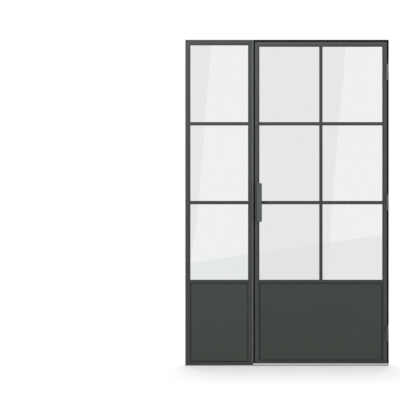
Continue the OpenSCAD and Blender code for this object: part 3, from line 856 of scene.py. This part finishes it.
washer_hole_r = 0.00455
washer_h = 0.002
washer_slack = 0.00003
washer_corner = 0.0003
washer_sides = 40
washer_low, washer_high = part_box("hinge_washers")
washer_r = (washer_high.x - washer_low.x) / 2.0
washer_x = (washer_low.x + washer_high.x) / 2.0
washer_y = (washer_low.y + washer_high.y) / 2.0
washer_rise = (washer_high.z - washer_low.z - washer_h) / (hinge_count - 1)
washer_top = washer_h - washer_slack
washer_profile = [
    (washer_hole_r, washer_slack), (washer_r - washer_corner, washer_slack),
    (washer_r, washer_slack + washer_corner), (washer_r, washer_top - washer_corner),
    (washer_r - washer_corner, washer_top), (washer_hole_r, washer_top)]
washer_corners = []
washer_faces = []
for index in range(hinge_count):
    foot_z = washer_low.z + index * washer_rise
    start = len(washer_corners)
    ring = len(washer_profile)
    for side in range(washer_sides):
        turn = 2.0 * math.pi * side / washer_sides
        washer_corners.extend((washer_x + radius * math.cos(turn),
                               washer_y + radius * math.sin(turn), foot_z + height)
                              for radius, height in washer_profile)
        after = (side + 1) % washer_sides
        for point in range(ring):
            next_point = (point + 1) % ring
            washer_faces.append((start + side * ring + point, start + after * ring + point,
                                 start + after * ring + next_point,
                                 start + side * ring + next_point))
washer_mesh = bpy.data.meshes.new("hinge_washers_turned")
washer_mesh.from_pydata(washer_corners, [], washer_faces)
washer_mesh.materials.append(turned_steel)
washer_mesh.shade_smooth()
washer_mesh.set_sharp_from_angle(angle=sharp_angle)
washers = placed("hinge_washers_turned", washer_mesh)
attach(washers, "frame")
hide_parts("hinge_washers")

seam_sides = 10
weld_seam, seam_in = new_tree("weld_seam", [
    ("Radius", "NodeSocketFloat"), ("Step", "NodeSocketFloat"), ("Ripple", "NodeSocketFloat"),
    ("Pitch", "NodeSocketFloat"), ("Finish", "NodeSocketMaterial")])
seam_length = step(weld_seam, "GeometryNodeSplineParameter").outputs["Length"]
seam_turns = math_node(weld_seam, "DIVIDE", seam_length, seam_in["Pitch"])
seam_wave = math_node(weld_seam, "SINE", product(weld_seam, seam_turns, 2.0 * math.pi))
seam_swell = math_node(weld_seam, "ADD", product(weld_seam, seam_wave, seam_in["Ripple"]), 1.0)
seam_thick = step(weld_seam, "GeometryNodeSetCurveRadius", {
    "Curve": even_points(weld_seam, seam_in["Geometry"], seam_in["Step"]),
    "Radius": seam_swell})
seam_round = step(weld_seam, "GeometryNodeCurvePrimitiveCircle", {
    "Resolution": seam_sides, "Radius": seam_in["Radius"]})
seam_body = step(weld_seam, "GeometryNodeCurveToMesh", {
    "Curve": seam_thick.outputs[0], "Profile Curve": seam_round.outputs[0], "Fill Caps": True})
seam_smooth = step(weld_seam, "GeometryNodeSetShadeSmooth", {"Geometry": seam_body.outputs[0]})
end_tree(weld_seam, seam_smooth.outputs[0], seam_in["Finish"])
seam = {"Radius": 0.0012, "Step": 0.0006, "Ripple": 0.13, "Pitch": 0.0024,
        "Finish": leaf_steel}


def seam_chains(chains):
    """Corners and lines of open chains of points."""
    corners = []
    lines = []
    for chain in chains:
        start = len(corners)
        corners.extend(chain)
        lines.extend((index, index + 1) for index in range(start, len(corners) - 1))
    return corners, lines


wing_h = 0.0495
wing_margin = 0.0015
seam_foot_lift = 0.0008
seam_head_drop = 0.0001
leaf_face_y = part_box("leaf_hinge_stile")[0].y
wing_right_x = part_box("leaf_hinge_stile")[1].x - wing_margin
hinge_rise = (knuckle_high.z - knuckle_low.z - wing_h - wing_margin) / (hinge_count - 1)
wing_chains = []
for index in range(hinge_count):
    foot_z = knuckle_low.z + seam_foot_lift + index * hinge_rise
    head_z = foot_z + wing_h - seam_head_drop
    wing_chains.append([
        (wing_right_x, leaf_face_y, foot_z), (knuckle_low.x, leaf_face_y, foot_z),
        (knuckle_low.x, leaf_face_y, head_z), (wing_right_x, leaf_face_y, head_z)])
hinge_seams = grown("hinge_weld_seams", weld_seam, *seam_chains(wing_chains), seam)
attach(hinge_seams, "leaf")

# Pull handles
# Flat steel bar, 5 mm thick, bent to an L with its outer corners rounded, one on each face of
# the leaf. Its leg is welded to the stile at both ends, and hands have rubbed the grip smooth.
handle_t = 0.005
# The handle's coat is a lighter copy of the frame's, as painted light on the grip that stands
# off the leaf.
handle_painted_light = 1.55
handle_ease = 0.0008
handle_weld_l = 0.030
hand_rub, rub_in, rub_out = new_group(
    "hand_rub",
    [("Centre", "NodeSocketVector", (0.0, 0.0, 0.0)), ("Reach", "NodeSocketFloat", 0.1),
     ("Roughness", "NodeSocketFloat", 0.4), ("Polish", "NodeSocketFloat", 0.1)],
    [("Roughness", "NodeSocketFloat"), ("Tone", "NodeSocketFloat")])
rub_place = object_place(hand_rub)
rub_away = step(hand_rub, "ShaderNodeVectorMath", {0: rub_place, 1: rub_in["Centre"]},
                operation="DISTANCE")
rub_share = spread(hand_rub, math_node(hand_rub, "DIVIDE", rub_away.outputs["Value"],
                                       rub_in["Reach"]), low=1.0, high=0.0)
rub_cloud = spread(hand_rub, noise(hand_rub, rub_place, scale=30.0, detail=3.0),
                   low=0.2, high=1.0, from_low=0.3, from_high=0.7)
rub_patch = product(hand_rub, rub_share, rub_cloud)
give(hand_rub, rub_out, {
    "Roughness": math_node(hand_rub, "SUBTRACT", rub_in["Roughness"],
                           product(hand_rub, rub_patch, rub_in["Polish"])),
    "Tone": spread(hand_rub, rub_patch, low=1.0, high=1.10)})

for handle, on_back in (("front_pull_handle", False), ("back_pull_handle", True)):
    low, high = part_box(handle)
    grip_y, foot_y = (high.y, low.y) if on_back else (low.y, high.y)
    coat = coated(handle + "_coat", steel_colour, shade=handle_painted_light)
    coat_tree = coat.node_tree
    rub = step(coat_tree, "ShaderNodeGroup", {
        "Centre": ((low.x + high.x) / 2.0, grip_y, (low.z + high.z) / 2.0),
        "Reach": 0.10, "Roughness": 0.42, "Polish": 0.14}, node_tree=hand_rub)
    give(coat_tree, coat_tree.nodes["skin"].inputs, {
        "Roughness": rub.outputs["Roughness"], "Tone": rub.outputs["Tone"]})
    finished([handle], "leaf", coat, handle_ease)
    leg_right_x = low.x + handle_t
    chains = []
    for end_z, inward in ((low.z, 1.0), (high.z, -1.0)):
        weld_z = end_z + inward * handle_weld_l
        chains.append([(low.x, foot_y, weld_z), (low.x, foot_y, end_z),
                       (leg_right_x, foot_y, end_z), (leg_right_x, foot_y, weld_z)])
    welds = grown(handle + "_welds", weld_seam, *seam_chains(chains), {**seam, "Finish": coat})
    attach(welds, "leaf")
